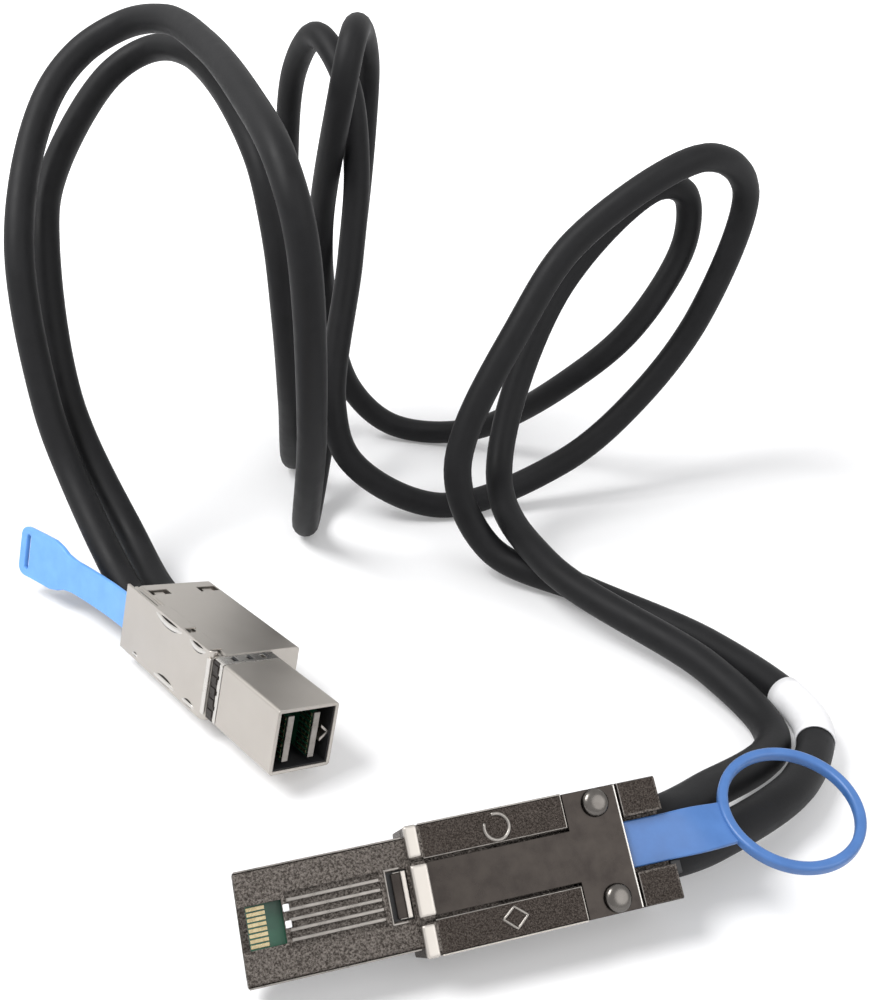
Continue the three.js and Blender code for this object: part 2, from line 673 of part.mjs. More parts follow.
function cords(first, second) {
  const group = new THREE.Group();
  [route1, route2].forEach((route, i) => {
    const fromA = exitPoints(first, -a.bodyLength, a.cordAt[i], 0, 12);
    const fromB = exitPoints(second, b.bodyLength, b.cordAt[i][0], b.cordAt[i][1], 3);
    const points = route.map(([x, y, z]) => new THREE.Vector3(x, y, z));
    const path = cordPath([...fromA, ...points, fromB[1], fromB[0]]);
    path.arcLengthDivisions = 1200;
    group.add(mesh(`cord_${i + 1}`, solid(tubeAlong(path, cordRadius, 0, cordSteps)), jacket));
    if (i === 1) group.add(mesh('label_sleeve', sleeveOn(path), paper));
  });
  return group;
}

// Part of a cord between two of its steps, so that a sleeve follows the cord's own facets
class Stretch extends THREE.Curve {
  constructor(path, from, to) {
    super();
    this.stations = path.getSpacedPoints(cordSteps);
    this.from = from;
    this.to = to;
  }

  getPoint(t) {
    const step = THREE.MathUtils.lerp(this.from, this.to, t);
    const before = Math.min(Math.floor(step), this.stations.length - 2);
    return this.stations[before].clone().lerp(this.stations[before + 1], step - before);
  }
}

function sleeveOn(path) {
  const stretch = new Stretch(path, sleeveFromStep, sleeveToStep);
  const inner = cordRadius + 2 * gap;
  return solid(tubeAlong(stretch, inner + sleeveWall, inner, 3));
}

// The whole cable, moved so that the plugs' box is centred on the origin
const first = plugA();
const second = plugB();
const bench = new THREE.Group();
bench.add(first, second, cords(first, second));
const plugsBox = new THREE.Box3().setFromObject(first, true).union(new THREE.Box3().setFromObject(second, true));
const centre = plugsBox.getCenter(new THREE.Vector3());
bench.position.set(-centre.x, -centre.y, 0);

const cable = new THREE.Group();
cable.name = 'mini_sas_cable';
cable.add(bench);

export default cable;
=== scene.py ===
"""A mini SAS cable: two cords in a loose standing coil, with a metal plug at each end."""
import math

import bmesh
import bpy
from mathutils import Matrix, Vector


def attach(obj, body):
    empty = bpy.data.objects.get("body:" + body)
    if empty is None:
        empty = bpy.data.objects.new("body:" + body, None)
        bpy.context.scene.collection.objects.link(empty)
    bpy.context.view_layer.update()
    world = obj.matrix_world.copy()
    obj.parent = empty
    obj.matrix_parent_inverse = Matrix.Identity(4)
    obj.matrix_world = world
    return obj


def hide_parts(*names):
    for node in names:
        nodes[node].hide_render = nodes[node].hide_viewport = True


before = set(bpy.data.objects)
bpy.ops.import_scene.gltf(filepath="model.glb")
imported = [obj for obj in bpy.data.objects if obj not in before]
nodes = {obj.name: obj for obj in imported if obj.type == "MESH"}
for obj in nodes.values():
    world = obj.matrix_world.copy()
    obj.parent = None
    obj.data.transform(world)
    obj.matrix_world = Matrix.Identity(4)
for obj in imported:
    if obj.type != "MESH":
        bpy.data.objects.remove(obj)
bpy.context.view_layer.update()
scene = bpy.context.scene

MM = 0.001
# Where the routes' own zero lies in the part's frame
TABLE = Vector((0.01948, -0.20508, 0.0))

# Camera, as photographed
EYE_HEIGHT = 0.1528
LOOK_DOWN = 24.8
LENS = 43.2

camera_data = bpy.data.cameras.new("camera")
camera_data.lens = LENS
camera_data.sensor_width = 36.0
camera_data.clip_start = 0.01
camera = bpy.data.objects.new("camera", camera_data)
camera.location = TABLE + Vector((0.0, 0.0, EYE_HEIGHT))
camera.rotation_euler = (math.radians(90.0 - LOOK_DOWN), 0.0, 0.0)
scene.collection.objects.link(camera)
scene.camera = camera


# Places of the two plugs

def placing(x, y, z, heading, pitch, roll):
    turn = (Matrix.Rotation(math.radians(heading), 4, "Z")
            @ Matrix.Rotation(math.radians(pitch), 4, "Y")
            @ Matrix.Rotation(math.radians(roll), 4, "X"))
    return Matrix.Translation((x, y, z)) @ turn @ Matrix.Scale(MM, 4)


PLUG_A = placing(-0.02472, 0.00872, 0.01132, -51.6, -1.6, -14.8)
PLUG_B = placing(0.01448, -0.05858, 0.01674, 15.8, -1.5, 46.0)
A_REAR = -40.5
A_CORDS = [(-0.2, 0.0), (8.2, 0.0)]
B_REAR = 43.5
B_CORDS = [(3.6, -9.8), (-3.3, -6.3)]
EXIT_GAP = 0.3
EXIT_REACH_A = 12.0
EXIT_REACH_B = 3.0

CORD_DIAMETER = 0.0074

ROUTE_1 = [
    (-0.096, 0.2815, 0.029), (-0.103, 0.2895, 0.047), (-0.1085, 0.303, 0.085),
    (-0.1065, 0.3315, 0.115), (-0.0985, 0.3425, 0.127), (-0.087, 0.345, 0.1335),
    (-0.0735, 0.335, 0.1355), (-0.059, 0.311, 0.131), (-0.045, 0.28, 0.1225),
    (-0.035, 0.2575, 0.112), (-0.0305, 0.25, 0.097), (-0.033, 0.2715, 0.046),
    (-0.04, 0.303, 0.0055), (-0.04, 0.318, 0.0055), (-0.0355, 0.345, 0.032), (-0.028, 0.362, 0.077),
    (-0.0245, 0.366, 0.106), (-0.023, 0.36, 0.1235), (-0.024, 0.345, 0.133), (-0.025, 0.3335, 0.13),
    (-0.0275, 0.33, 0.119), (-0.0375, 0.3545, 0.077), (-0.038, 0.37, 0.046),
    (-0.032, 0.3785, 0.0185), (-0.019, 0.38, 0.0055), (0.007, 0.371, 0.007), (0.041, 0.344, 0.037),
    (0.056, 0.343, 0.0525), (0.069, 0.3495, 0.074), (0.068, 0.3475, 0.088), (0.0575, 0.339, 0.0915),
    (0.03, 0.326, 0.0655), (0.014, 0.302, 0.0215), (0.0245, 0.266, 0.0125),
    (0.0585, 0.2265, 0.0065), (0.067, 0.204, 0.0042), (0.047, 0.1788, 0.0102),
]
ROUTE_2 = [
    (-0.0815, 0.2775, 0.014), (-0.1005, 0.3, 0.0435), (-0.1065, 0.317, 0.082),
    (-0.107, 0.332, 0.0965), (-0.096, 0.3595, 0.1195), (-0.085, 0.362, 0.126),
    (-0.071, 0.35, 0.126), (-0.047, 0.303, 0.107), (-0.0425, 0.296, 0.0895),
    (-0.042, 0.3015, 0.065), (-0.044, 0.317, 0.037), (-0.049, 0.351, 0.0055),
    (-0.0485, 0.366, 0.0065), (-0.0485, 0.3865, 0.037), (-0.051, 0.3875, 0.063),
    (-0.05, 0.384, 0.095), (-0.0455, 0.375, 0.119), (-0.0365, 0.359, 0.13),
    (-0.0275, 0.3455, 0.118), (-0.0255, 0.343, 0.096), (-0.0275, 0.335, 0.0725),
    (-0.0325, 0.32, 0.0345), (-0.0275, 0.3165, 0.0185), (-0.0025, 0.318, 0.0042),
    (0.0335, 0.329, 0.013), (0.0555, 0.337, 0.0295), (0.0735, 0.3415, 0.0545),
    (0.0825, 0.3375, 0.091), (0.067, 0.322, 0.1025), (0.034, 0.3105, 0.084),
    (0.0195, 0.3025, 0.0645), (0.0025, 0.289, 0.028), (0.011, 0.282, 0.0085),
    (0.036, 0.266, 0.0042), (0.0615, 0.2395, 0.0046), (0.0758, 0.209, 0.0052),
    (0.0678, 0.187, 0.0068), (0.047, 0.167, 0.0096),
]


# Materials: colours are linear, sizes of grain are in metres

def new_material(name):
    material = bpy.data.materials.new(name)
    material.use_nodes = True
    tree = material.node_tree
    shader = tree.nodes["Principled BSDF"]
    return material, tree, shader


def noise(tree, size, detail=3.0, roughness=0.55):
    coords = tree.nodes.new("ShaderNodeTexCoord")
    texture = tree.nodes.new("ShaderNodeTexNoise")
    texture.inputs["Scale"].default_value = 1.0 / size
    texture.inputs["Detail"].default_value = detail
    texture.inputs["Roughness"].default_value = roughness
    tree.links.new(coords.outputs["Object"], texture.inputs["Vector"])
    return texture


def ramp(tree, source, low, high, start=0.3, end=0.7):
    node = tree.nodes.new("ShaderNodeValToRGB")
    node.color_ramp.elements[0].position = start
    node.color_ramp.elements[1].position = end
    node.color_ramp.elements[0].color = (*low, 1.0)
    node.color_ramp.elements[1].color = (*high, 1.0)
    tree.links.new(source, node.inputs["Fac"])
    return node


def spread(tree, source, low, high):
    node = tree.nodes.new("ShaderNodeMapRange")
    node.inputs["From Min"].default_value = 0.3
    node.inputs["From Max"].default_value = 0.7
    node.inputs["To Min"].default_value = low
    node.inputs["To Max"].default_value = high
    tree.links.new(source, node.inputs["Value"])
    return node


def relief(tree, shader, source, depth, edge=0.0):
    bump = tree.nodes.new("ShaderNodeBump")
    bump.inputs["Distance"].default_value = depth
    bump.inputs["Strength"].default_value = 1.0
    tree.links.new(source, bump.inputs["Height"])
    if edge:
        soften = tree.nodes.new("ShaderNodeBevel")
        soften.samples = 4
        soften.inputs["Radius"].default_value = edge
        tree.links.new(soften.outputs["Normal"], bump.inputs["Normal"])
    tree.links.new(bump.outputs["Normal"], shader.inputs["Normal"])


def finish_material(name, dark, light, rough, grain, depth, metal=0.0, patch=0.004, edge=0.0, coat=0.0):
    """Cloudy colour and roughness over patches, with a fine grain in the surface."""
    material, tree, shader = new_material(name)
    clouds = noise(tree, patch)
    colour = ramp(tree, clouds.outputs["Fac"], dark, light)
    tree.links.new(colour.outputs["Color"], shader.inputs["Base Color"])
    gloss = spread(tree, clouds.outputs["Fac"], *rough)
    tree.links.new(gloss.outputs["Result"], shader.inputs["Roughness"])
    shader.inputs["Metallic"].default_value = metal
    shader.inputs["Coat Weight"].default_value = coat
    fine = noise(tree, grain, detail=4.0)
    relief(tree, shader, fine.outputs["Fac"], depth, edge)
    return material


def cast_material(name, dark, light, grain):
    """Grained die-cast metal: bright specks between dark pits."""
    material, tree, shader = new_material(name)
    specks = noise(tree, grain, detail=4.0, roughness=0.7)
    colour = ramp(tree, specks.outputs["Fac"], dark, light, 0.4, 0.62)
    tree.links.new(colour.outputs["Color"], shader.inputs["Base Color"])
    gloss = spread(tree, specks.outputs["Fac"], 0.62, 0.34)
    tree.links.new(gloss.outputs["Result"], shader.inputs["Roughness"])
    shader.inputs["Metallic"].default_value = 1.0
    relief(tree, shader, specks.outputs["Fac"], 0.00022, 0.00015)
    return material


NICKEL = finish_material("nickel", (0.455, 0.425, 0.39), (0.49, 0.46, 0.425),
                         (0.37, 0.41), 0.00035, 0.000004, metal=1.0, patch=0.012, edge=0.0003)
BRIGHT = finish_material("bright_nickel", (0.55, 0.53, 0.50), (0.61, 0.59, 0.56),
                         (0.26, 0.30), 0.0003, 0.000001, metal=1.0, patch=0.004, edge=0.0002)
PLATE = finish_material("dark_plate", (0.028, 0.024, 0.022), (0.044, 0.038, 0.034),
                        (0.24, 0.32), 0.0003, 0.000003, metal=1.0, patch=0.003, edge=0.00015)
CAST = cast_material("cast_nickel", (0.040, 0.034, 0.030), (0.165, 0.147, 0.133), 0.00036)
CAST_DARK = cast_material("cast_nickel_dark", (0.026, 0.021, 0.018), (0.085, 0.072, 0.064), 0.00025)
RIVET = finish_material("rivet", (0.10, 0.092, 0.085), (0.15, 0.14, 0.13),
                        (0.22, 0.30), 0.0003, 0.000003, metal=1.0, patch=0.003)
# Paler nickel: painted highlights on the rims, nose ribs, hook frame and raised marks; also the plain grey
# of the card edges
PALE_HIGHLIGHT_NICKEL = finish_material("pale_highlight_nickel", (0.21, 0.195, 0.18), (0.30, 0.28, 0.26),
                       (0.25, 0.36), 0.0003, 0.000008, metal=1.0, patch=0.002, edge=0.00015)
JACKET = finish_material("jacket", (0.0065, 0.0065, 0.0072), (0.0105, 0.0105, 0.0115),
                         (0.5, 0.6), 0.0005, 0.00002, patch=0.005)
JACKET.node_tree.nodes["Principled BSDF"].inputs["Specular IOR Level"].default_value = 0.18
BLUE = finish_material("blue_plastic", (0.13, 0.36, 0.80), (0.165, 0.42, 0.90),
                       (0.34, 0.44), 0.0004, 0.00001, patch=0.004)
BLUE_DEEP = finish_material("blue_ring", (0.052, 0.145, 0.38), (0.066, 0.175, 0.44),
                            (0.32, 0.42), 0.0004, 0.00001, patch=0.004)
PAPER = finish_material("label_paper", (0.80, 0.80, 0.81), (0.87, 0.87, 0.88),
                        (0.45, 0.6), 0.0003, 0.000008, patch=0.003)
BOARD = finish_material("board", (0.006, 0.060, 0.032), (0.010, 0.085, 0.045),
                        (0.3, 0.45), 0.0003, 0.000005, patch=0.002, coat=0.4)
GOLD = finish_material("gold_pads", (0.46, 0.38, 0.22), (0.56, 0.47, 0.29),
                       (0.2, 0.32), 0.0002, 0.000004, metal=1.0, patch=0.001)
MOULD = finish_material("mould", (0.010, 0.010, 0.011), (0.02, 0.02, 0.021),
                        (0.45, 0.6), 0.0004, 0.00002)
COPPER = finish_material("copper", (0.42, 0.20, 0.10), (0.58, 0.30, 0.16),
                         (0.3, 0.45), 0.0003, 0.00001, metal=1.0, patch=0.002)

NODE_MATERIALS = {
    "plug_a_housing": NICKEL,
    "plug_a_lid": NICKEL,
    "plug_a_latch_cover": NICKEL,
    "plug_a_ground_spring": BRIGHT,
    "plug_a_card_holder": MOULD,
    "plug_b_upper_shell": CAST,
    "plug_b_lower_shell": CAST,
    "plug_b_latch_plate": PLATE,
    "plug_b_card_holder": MOULD,
}


def material_of(name):
    if name in NODE_MATERIALS:
        return NODE_MATERIALS[name]
    for word, material in (("card", BOARD), ("ferrule", BRIGHT), ("wires", COPPER), ("rivet", BRIGHT),
                           ("pull_tab", BLUE), ("cord", JACKET), ("label", PAPER)):
        if word in name:
            return material
    return NICKEL


for node_name, node in nodes.items():
    node.data.materials.clear()
    node.data.materials.append(material_of(node_name))


# Making pieces

def piece(name, mesh, material, body, smooth=False):
    mesh.materials.clear()
    mesh.materials.append(material)
    if smooth:
        mesh.shade_smooth()
    made = bpy.data.objects.new(name, mesh)
    scene.collection.objects.link(made)
    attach(made, body)
    return made


def close_mesh(name, build, place):
    mesh = bpy.data.meshes.new(name)
    build.normal_update()
    bmesh.ops.recalc_face_normals(build, faces=build.faces)
    build.to_mesh(mesh)
    build.free()
    mesh.transform(place)
    return mesh


def block(name, x, y, z, place, round_edge, material):
    """A box with rounded edges on the cable, between pairs of coordinates in a plug's own millimetres."""
    build = bmesh.new()
    bmesh.ops.create_cube(build, size=1.0)
    for vertex in build.verts:
        vertex.co = Vector(((x[0] + x[1]) / 2 + vertex.co.x * (x[1] - x[0]),
                            (y[0] + y[1]) / 2 + vertex.co.y * (y[1] - y[0]),
                            (z[0] + z[1]) / 2 + vertex.co.z * (z[1] - z[0])))
    bmesh.ops.bevel(build, geom=build.edges[:], offset=round_edge, segments=3, profile=0.5, affect="EDGES")
    return piece(name, close_mesh(name, build, place), material, "cable")


def skin(name, rings, place, material, body, closed=False, smooth=True):
    """A surface through rings of points; its two ends are capped unless it closes on itself."""
    build = bmesh.new()
    rows = [[build.verts.new(point) for point in ring] for ring in rings]
    count = len(rows[0])
    pairs = list(zip(rows, rows[1:]))
    if closed:
        pairs.append((rows[-1], rows[0]))
    for low, high in pairs:
        for i in range(count):
            j = (i + 1) % count
            build.faces.new((low[i], low[j], high[j], high[i]))
    if not closed:
        build.faces.new(rows[0][::-1])
        build.faces.new(rows[-1])
    return piece(name, close_mesh(name, build, place), material, body, smooth)


def rounded_section(wide, thick, radius, steps=4):
    """Points round a rectangle with rounded corners, in two local coordinates."""
    points = []
    for corner, (sx, sy) in enumerate(((1, 1), (-1, 1), (-1, -1), (1, -1))):
        for i in range(steps + 1):
            angle = (corner + i / steps) * math.pi / 2
            points.append((sx * (wide / 2 - radius) + radius * math.cos(angle),
                           sy * (thick / 2 - radius) + radius * math.sin(angle)))
    return points


# Cords

def centripetal(points, per_span):
    """A centripetal Catmull-Rom curve through the points."""
    curve = []
    for i in range(len(points) - 1):
        p1, p2 = points[i], points[i + 1]
        p0 = points[i - 1] if i else 2 * p1 - p2
        p3 = points[i + 2] if i + 2 < len(points) else 2 * p2 - p1
        d0, d1, d2 = ((q - p).length ** 0.5 for p, q in ((p0, p1), (p1, p2), (p2, p3)))
        t1 = ((p1 - p0) / d0 - (p2 - p0) / (d0 + d1) + (p2 - p1) / d1) * d1
        t2 = ((p2 - p1) / d1 - (p3 - p1) / (d1 + d2) + (p3 - p2) / d2) * d1
        for step in range(per_span):
            t = step / per_span
            curve.append(p1 + t1 * t + (3 * (p2 - p1) - 2 * t1 - t2) * t * t
                         + (2 * (p1 - p2) + t1 + t2) * t ** 3)
    curve.append(points[-1])
    return curve


def exit_points(place, x, y, z, reach):
    out = math.copysign(1.0, x)
    return [place @ Vector((x + out * far, y, z)) for far in (EXIT_GAP, reach)]


def cord_path(route, cord_a, cord_b):
    start = exit_points(PLUG_A, A_REAR, *cord_a, EXIT_REACH_A)
    end = exit_points(PLUG_B, B_REAR, *cord_b, EXIT_REACH_B)
    points = start + [TABLE + Vector(point) for point in route] + end[::-1]
    return centripetal(points, 14)


def length_of(path):
    return sum((q - p).length for p, q in zip(path, path[1:]))


def cord_curve(name, path):
    data = bpy.data.curves.new(name, "CURVE")
    data.dimensions = "3D"
    data.bevel_depth = CORD_DIAMETER / 2
    data.bevel_resolution = 6
    data.use_fill_caps = True
    spline = data.splines.new("POLY")
    spline.points.add(len(path) - 1)
    for point, place in zip(spline.points, path):
        point.co = (*place, 1.0)
    spline.use_smooth = True
    data.materials.append(JACKET)
    made = bpy.data.objects.new(name, data)
    scene.collection.objects.link(made)
    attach(made, "cable")
    return made


path_1 = cord_path(ROUTE_1, A_CORDS[0], B_CORDS[0])
path_2 = cord_path(ROUTE_2, A_CORDS[1], B_CORDS[1])
outer_cord = cord_curve("outer_cord", path_1)
inner_cord = cord_curve("inner_cord", path_2)
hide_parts("cord_1")
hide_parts("cord_2")

# The bare white sleeve near the flat plug
SLEEVE_FROM = 0.9325
SLEEVE_TO = 0.9515
SLEEVE_RADIUS = 0.00405


def stretch_of(path, start, end):
    """The part of a path between two shares of its length."""
    total = length_of(path)
    run = 0.0
    kept = []
    for p, q in zip(path, path[1:]):
        if start * total <= run <= end * total:
            kept.append(p)
        run += (q - p).length
    return kept


def sleeve_rings(path, outer, inner):
    """Rings of a thin tube with its wall turned in at both ends."""
    rings = []
    up = Vector((0.0, 0.0, 1.0))
    last = len(path) - 1
    stations = [(i, outer) for i in range(last + 1)] + [(i, inner) for i in range(last, -1, -1)]
    for i, radius in stations:
        along = (path[min(i + 1, last)] - path[max(i - 1, 0)]).normalized()
        side = along.cross(up).normalized()
        top = side.cross(along)
        rings.append([path[i] + radius * (math.cos(a) * side + math.sin(a) * top)
                      for a in (2 * math.pi * k / 32 for k in range(32))])
    return rings


sleeve = skin("label_wrap", sleeve_rings(stretch_of(path_2, SLEEVE_FROM, SLEEVE_TO), SLEEVE_RADIUS,
                                         CORD_DIAMETER / 2 + 0.00005),
              Matrix.Identity(4), PAPER, "cable", closed=True)
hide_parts("label_sleeve")


# Pull strap of the square plug

STRAP_Y = -5.95
STRAP_BEND = 7.8
STRAP_START = -42.0
STRAP_END = -88.0


def strap_bend(x):
    share = min(max((x - STRAP_START) / (STRAP_END - STRAP_START), 0.0), 1.0)
    return -STRAP_BEND * share ** 1.6


def flat_outline(name, outline, holes, thick, rim):
    """A flat plate from outlines of (x, z), with rounded rims, as a bmesh in x, y, z."""
    data = bpy.data.curves.new(name, "CURVE")
    data.dimensions = "2D"
    data.fill_mode = "BOTH"
    data.extrude = thick / 2 - rim
    data.bevel_depth = rim
    data.bevel_resolution = 2
    data.offset = -rim
    for points in [outline, *holes]:
        spline = data.splines.new("POLY")
        spline.points.add(len(points) - 1)
        for point, (x, z) in zip(spline.points, points):
            point.co = (x, z, 0.0, 1.0)
        spline.use_cyclic_u = True
    shape = bpy.data.objects.new(name, data)
    scene.collection.objects.link(shape)
    mesh = bpy.data.meshes.new_from_object(shape.evaluated_get(bpy.context.evaluated_depsgraph_get()))
    bpy.data.objects.remove(shape)
    bpy.data.curves.remove(data)
    build = bmesh.new()
    build.from_mesh(mesh)
    bpy.data.meshes.remove(mesh)
    for vertex in build.verts:
        vertex.co = Vector((vertex.co.x, vertex.co.z, vertex.co.y))
    bmesh.ops.remove_doubles(build, verts=build.verts, dist=1e-4)
    return build


def slice_along_x(build, places):
    for x in places:
        geometry = build.verts[:] + build.edges[:] + build.faces[:]
        bmesh.ops.bisect_plane(build, geom=geometry, plane_co=(x, 0, 0), plane_no=(1, 0, 0))


def arc(cx, cz, radius, start, end, steps=8):
    return [(cx + radius * math.cos(math.radians(start + (end - start) * i / steps)),
             cz + radius * math.sin(math.radians(start + (end - start) * i / steps)))
            for i in range(steps + 1)]


def pull_strap():
    half = 4.2
    pad = 6.5
    outline = [(-14.0, -3.4), (-14.0, 3.4), (-16.0, half), (-66.0, half), (-69.5, half + 0.5)]
    outline += [(-72.0, pad - 0.7), (-75.0, pad)]
    outline += arc(-85.5, pad - 2.5, 2.5, 90, 180)
    outline += arc(-85.5, -pad + 2.5, 2.5, 180, 270)
    outline += [(-75.0, -pad), (-72.0, -pad + 0.7), (-69.5, -half - 0.5), (-66.0, -half), (-16.0, -half)]
    slot = arc(-85.0, 3.9, 0.75, 0, 180) + arc(-85.0, -3.9, 0.75, 180, 360)
    build = flat_outline("strap", outline, [slot], 1.2, 0.25)
    slice_along_x(build, [-42.0 - 2.0 * i for i in range(23)])
    for vertex in build.verts:
        thinner = 0.55 if vertex.co.x > STRAP_START else 1.0
        vertex.co.y = STRAP_Y + vertex.co.y * thinner + strap_bend(vertex.co.x)
    return piece("pull_strap", close_mesh("pull_strap", build, PLUG_A), BLUE, "strap_tab")


strap = pull_strap()
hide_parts("plug_a_pull_tab")

# Pull ring of the flat plug

RING_AT = 67.2
RING_RADIUS = 12.7
RING_BAND = 1.8
RING_DEEP = 2.2
RING_TILT = -31.0
TONGUE_Z = -1.8
TWIST_FROM = 44.5
TWIST_TO = RING_AT - RING_RADIUS + RING_BAND * 0.8


def ring_strap_rings():
    rings = []
    stations = [14.0, 30.0, TWIST_FROM]
    stations += [TWIST_FROM + (TWIST_TO - TWIST_FROM) * i / 10 for i in range(1, 11)]
    for x in stations:
        share = min(max((x - TWIST_FROM) / (TWIST_TO - TWIST_FROM), 0.0), 1.0)
        turn = math.radians(RING_TILT) * share * share * (3 - 2 * share)
        rings.append([Vector((x, y * math.cos(turn) - z * math.sin(turn),
                              TONGUE_Z + y * math.sin(turn) + z * math.cos(turn)))
                      for y, z in rounded_section(7.6 + 0.6 * share, 1.0, 0.3)])
    return rings


def hoop_rings():
    tilt = Matrix.Rotation(math.radians(RING_TILT), 3, "X")
    rings = []
    for i in range(96):
        angle = 2 * math.pi * i / 96
        outward = Vector((math.cos(angle), math.sin(angle), 0.0))
        rings.append([Vector((RING_AT, 0.0, TONGUE_Z))
                      + tilt @ (outward * (RING_RADIUS - RING_BAND / 2 + across) + Vector((0, 0, deep)))
                      for across, deep in rounded_section(RING_BAND, RING_DEEP, 0.6)])
    return rings


ring_strap = skin("ring_strap", ring_strap_rings(), PLUG_B, BLUE_DEEP, "ring_tab")
ring_hoop = skin("ring_hoop", hoop_rings(), PLUG_B, BLUE_DEEP, "ring_tab", closed=True)
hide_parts("plug_b_pull_tab")
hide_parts("plug_b_pull_tab")

# Details of the flat plug

# Along the plug
PAD_FROM = 2.2
PAD_TO = 26.7
BAR_TO = 36.4
REAR_FROM = 36.7
# Across it, from its middle
PAD_IN = 4.7
PAD_OUT = 10.0
# Out of its face
STRIP_TOP = 0.12
RIM = 0.16
RIM_TOP = 0.04
FACE_TOP = 0.03


def one_side(side, low, high):
    """From low to high on one side of the middle, in rising order."""
    return sorted((side * low, side * high))


for strip_name, x_range, y_range in (("front_strip_upper", (-0.25, 2.0), (5.1, 10.25)),
                                     ("front_strip_middle", (-0.25, 2.6), (-4.1, 4.1)),
                                     ("front_strip_lower", (-0.25, 2.0), (-10.25, -5.1))):
    block(strip_name, x_range, y_range, (-1.1, STRIP_TOP), PLUG_B, 0.42, NICKEL)


# Rims along the raised pads and the nose, in paler metal as painted edge highlights, and darker, finer
# grain on the pads and rear blocks

def rim(name, x, y, bottom, material=PALE_HIGHLIGHT_NICKEL, top=RIM_TOP):
    return block(name, x, y, (bottom, top), PLUG_B, RIM * 0.45, material)


for side, word in ((1, "upper"), (-1, "lower")):
    rim(f"pad_rim_inner_{word}", (PAD_FROM, PAD_TO), one_side(side, PAD_IN, PAD_IN + RIM), -0.5)
    # Painted highlight: the lower outer rim and the end rims are brighter still, as the lit side
    rim(f"pad_rim_outer_{word}", (PAD_FROM, PAD_TO), one_side(side, PAD_OUT, PAD_OUT + 0.1 + RIM), -0.9,
        NICKEL if side < 0 else PALE_HIGHLIGHT_NICKEL)
    rim(f"pad_rim_end_{word}", (PAD_TO - RIM, PAD_TO), one_side(side, PAD_IN, PAD_OUT), -0.5, NICKEL)
    rim(f"rear_rim_{word}", (REAR_FROM, REAR_FROM + RIM), one_side(side, PAD_IN, PAD_OUT), -0.5)
    rim(f"nose_rim_{word}", (-27.7, -0.6), one_side(side, 8.5, 8.6 + RIM), -1.9, top=-1.37)
    for face_name, x_range in (("pad_face", (2.4, 26.5)), ("rear_face", (36.95, 43.2))):
        block(f"{face_name}_{word}", x_range, one_side(side, 4.9, 9.9), (-0.3, FACE_TOP), PLUG_B, 0.02,
              CAST_DARK)

# Painted highlight: a thin bright strip along the rear edge of the bar
block("bar_back_edge_glint", (BAR_TO - 0.3, BAR_TO), (-10.0, 10.0), (-0.9, -0.3), PLUG_B,
      0.08, BRIGHT)


def raised_line(name, points, wide, high, place, closed=False):
    """A low raised bead along points on a plug's face, in paler metal that paints its highlight."""
    rings = []
    count = len(points)
    for i, point in enumerate(points):
        if closed:
            before, after = points[i - 1], points[(i + 1) % count]
        else:
            before, after = points[max(i - 1, 0)], points[min(i + 1, count - 1)]
        along = (Vector(after) - Vector(before)).normalized()
        side = Vector((-along.y, along.x, 0.0))
        rings.append([Vector(point) + side * (wide / 2 * math.cos(a)) + Vector((0, 0, high * math.sin(a)))
                      for a in (2 * math.pi * k / 10 for k in range(10))])
    return skin(name, rings, place, PALE_HIGHLIGHT_NICKEL, "cable", closed=closed)


ROUND_MARK_AT = (15.0, 7.2)
ROUND_MARK_RADIUS = 2.1
MARK_HIGH = 0.28
round_mark = [(ROUND_MARK_AT[0] + ROUND_MARK_RADIUS * math.cos(math.radians(a)),
               ROUND_MARK_AT[1] + ROUND_MARK_RADIUS * math.sin(math.radians(a)), 0.0)
              for a in range(-205, 106, 10)]
raised_line("round_mark", round_mark, 0.62, MARK_HIGH, PLUG_B)
square_mark = []
corners = [(12.9, -7.0), (15.0, -5.4), (17.0, -7.1), (14.9, -8.8)]
for start, end in zip(corners, corners[1:] + corners[:1]):
    square_mark += [(start[0] + (end[0] - start[0]) * i / 6, start[1] + (end[1] - start[1]) * i / 6, 0.0)
                    for i in range(6)]
raised_line("square_mark", square_mark, 0.5, MARK_HIGH, PLUG_B, closed=True)

# Window with the latch hook
block("hook_window_floor", (-4.1, -0.9), (-3.8, 3.8), (-2.29, -2.24), PLUG_B, 0.02, MOULD)
# Frame round the window in paler metal: painted highlight on its edges
for word, x_range, y_range in (("front", (-4.45, -4.2), (-4.3, 4.3)), ("lower", (-4.4, -1.9), (-4.3, -4.0)),
                               ("upper", (-4.4, -1.9), (4.0, 4.3))):
    block(f"hook_frame_{word}", x_range, y_range, (-1.6, -1.2), PLUG_B, 0.08, PALE_HIGHLIGHT_NICKEL)
block("hook_tip", (-3.4, -1.3), (-3.5, 3.5), (-2.0, -1.5), PLUG_B, 0.12, PLATE)

# Gold contacts, and two white dots behind the window: painted highlights where the nose ribs end
PAD_PITCH = 0.8
for i in range(8):
    y = (i - 3.5) * PAD_PITCH
    block(f"b_contact_{i + 1}", (-26.5, -23.6), (y - 0.28, y + 0.28), (-4.1, -4.02), PLUG_B,
          0.02, GOLD)
for i, y in enumerate((-0.6, 1.9)):
    block(f"rib_end_glint_{i + 1}", (-20.9, -19.9), (y - 0.55, y + 0.55), (-1.6, -1.1), PLUG_B,
          0.15, PAPER)

# Nose ribs: crests between the grooves, paler as a painted highlight
RIB_PITCH = 1.5
for i in range(5):
    y = (i - 2) * RIB_PITCH
    block(f"nose_rib_{i + 1}", (-20.2, -5.4), (y - 0.26, y + 0.26), (-1.6, -1.33), PLUG_B,
          0.08, PALE_HIGHLIGHT_NICKEL)

